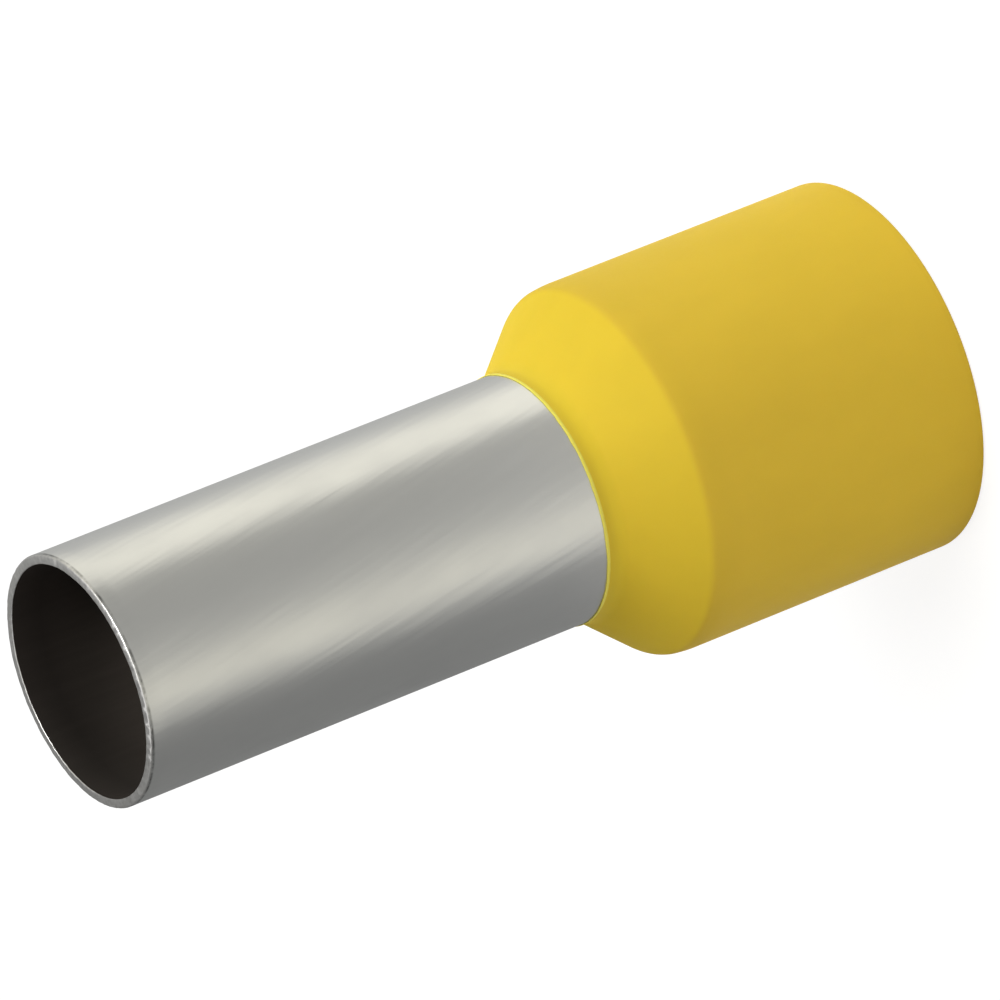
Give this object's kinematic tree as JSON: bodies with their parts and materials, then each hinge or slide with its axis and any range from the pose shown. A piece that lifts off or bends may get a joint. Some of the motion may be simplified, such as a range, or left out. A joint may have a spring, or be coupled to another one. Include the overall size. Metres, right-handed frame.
{
  "type": "wire ferrule",
  "caption": "Thin tinned copper sleeve with a flared inner end, seated in a moulded plastic insulating collar, crimped on the stripped end of a stranded wire.",
  "frame": {"origin": "centre of the collar's mouth, in the plane of its rim, on which the ferrule stands", "axes": "+Z along the common axis, from the collar's mouth to the sleeve's cut end"},
  "size_m": [0.0116, 0.0116, 0.0284],
  "materials": {
    "tinned_copper": "satin electroplated tin on a drawn copper tube",
    "yellow_plastic": "moulded, satin"
  },
  "bodies": {
    "root": {"metal_sleeve": "tinned_copper", "plastic_collar": "yellow_plastic"}
  },
  "joints": []
}
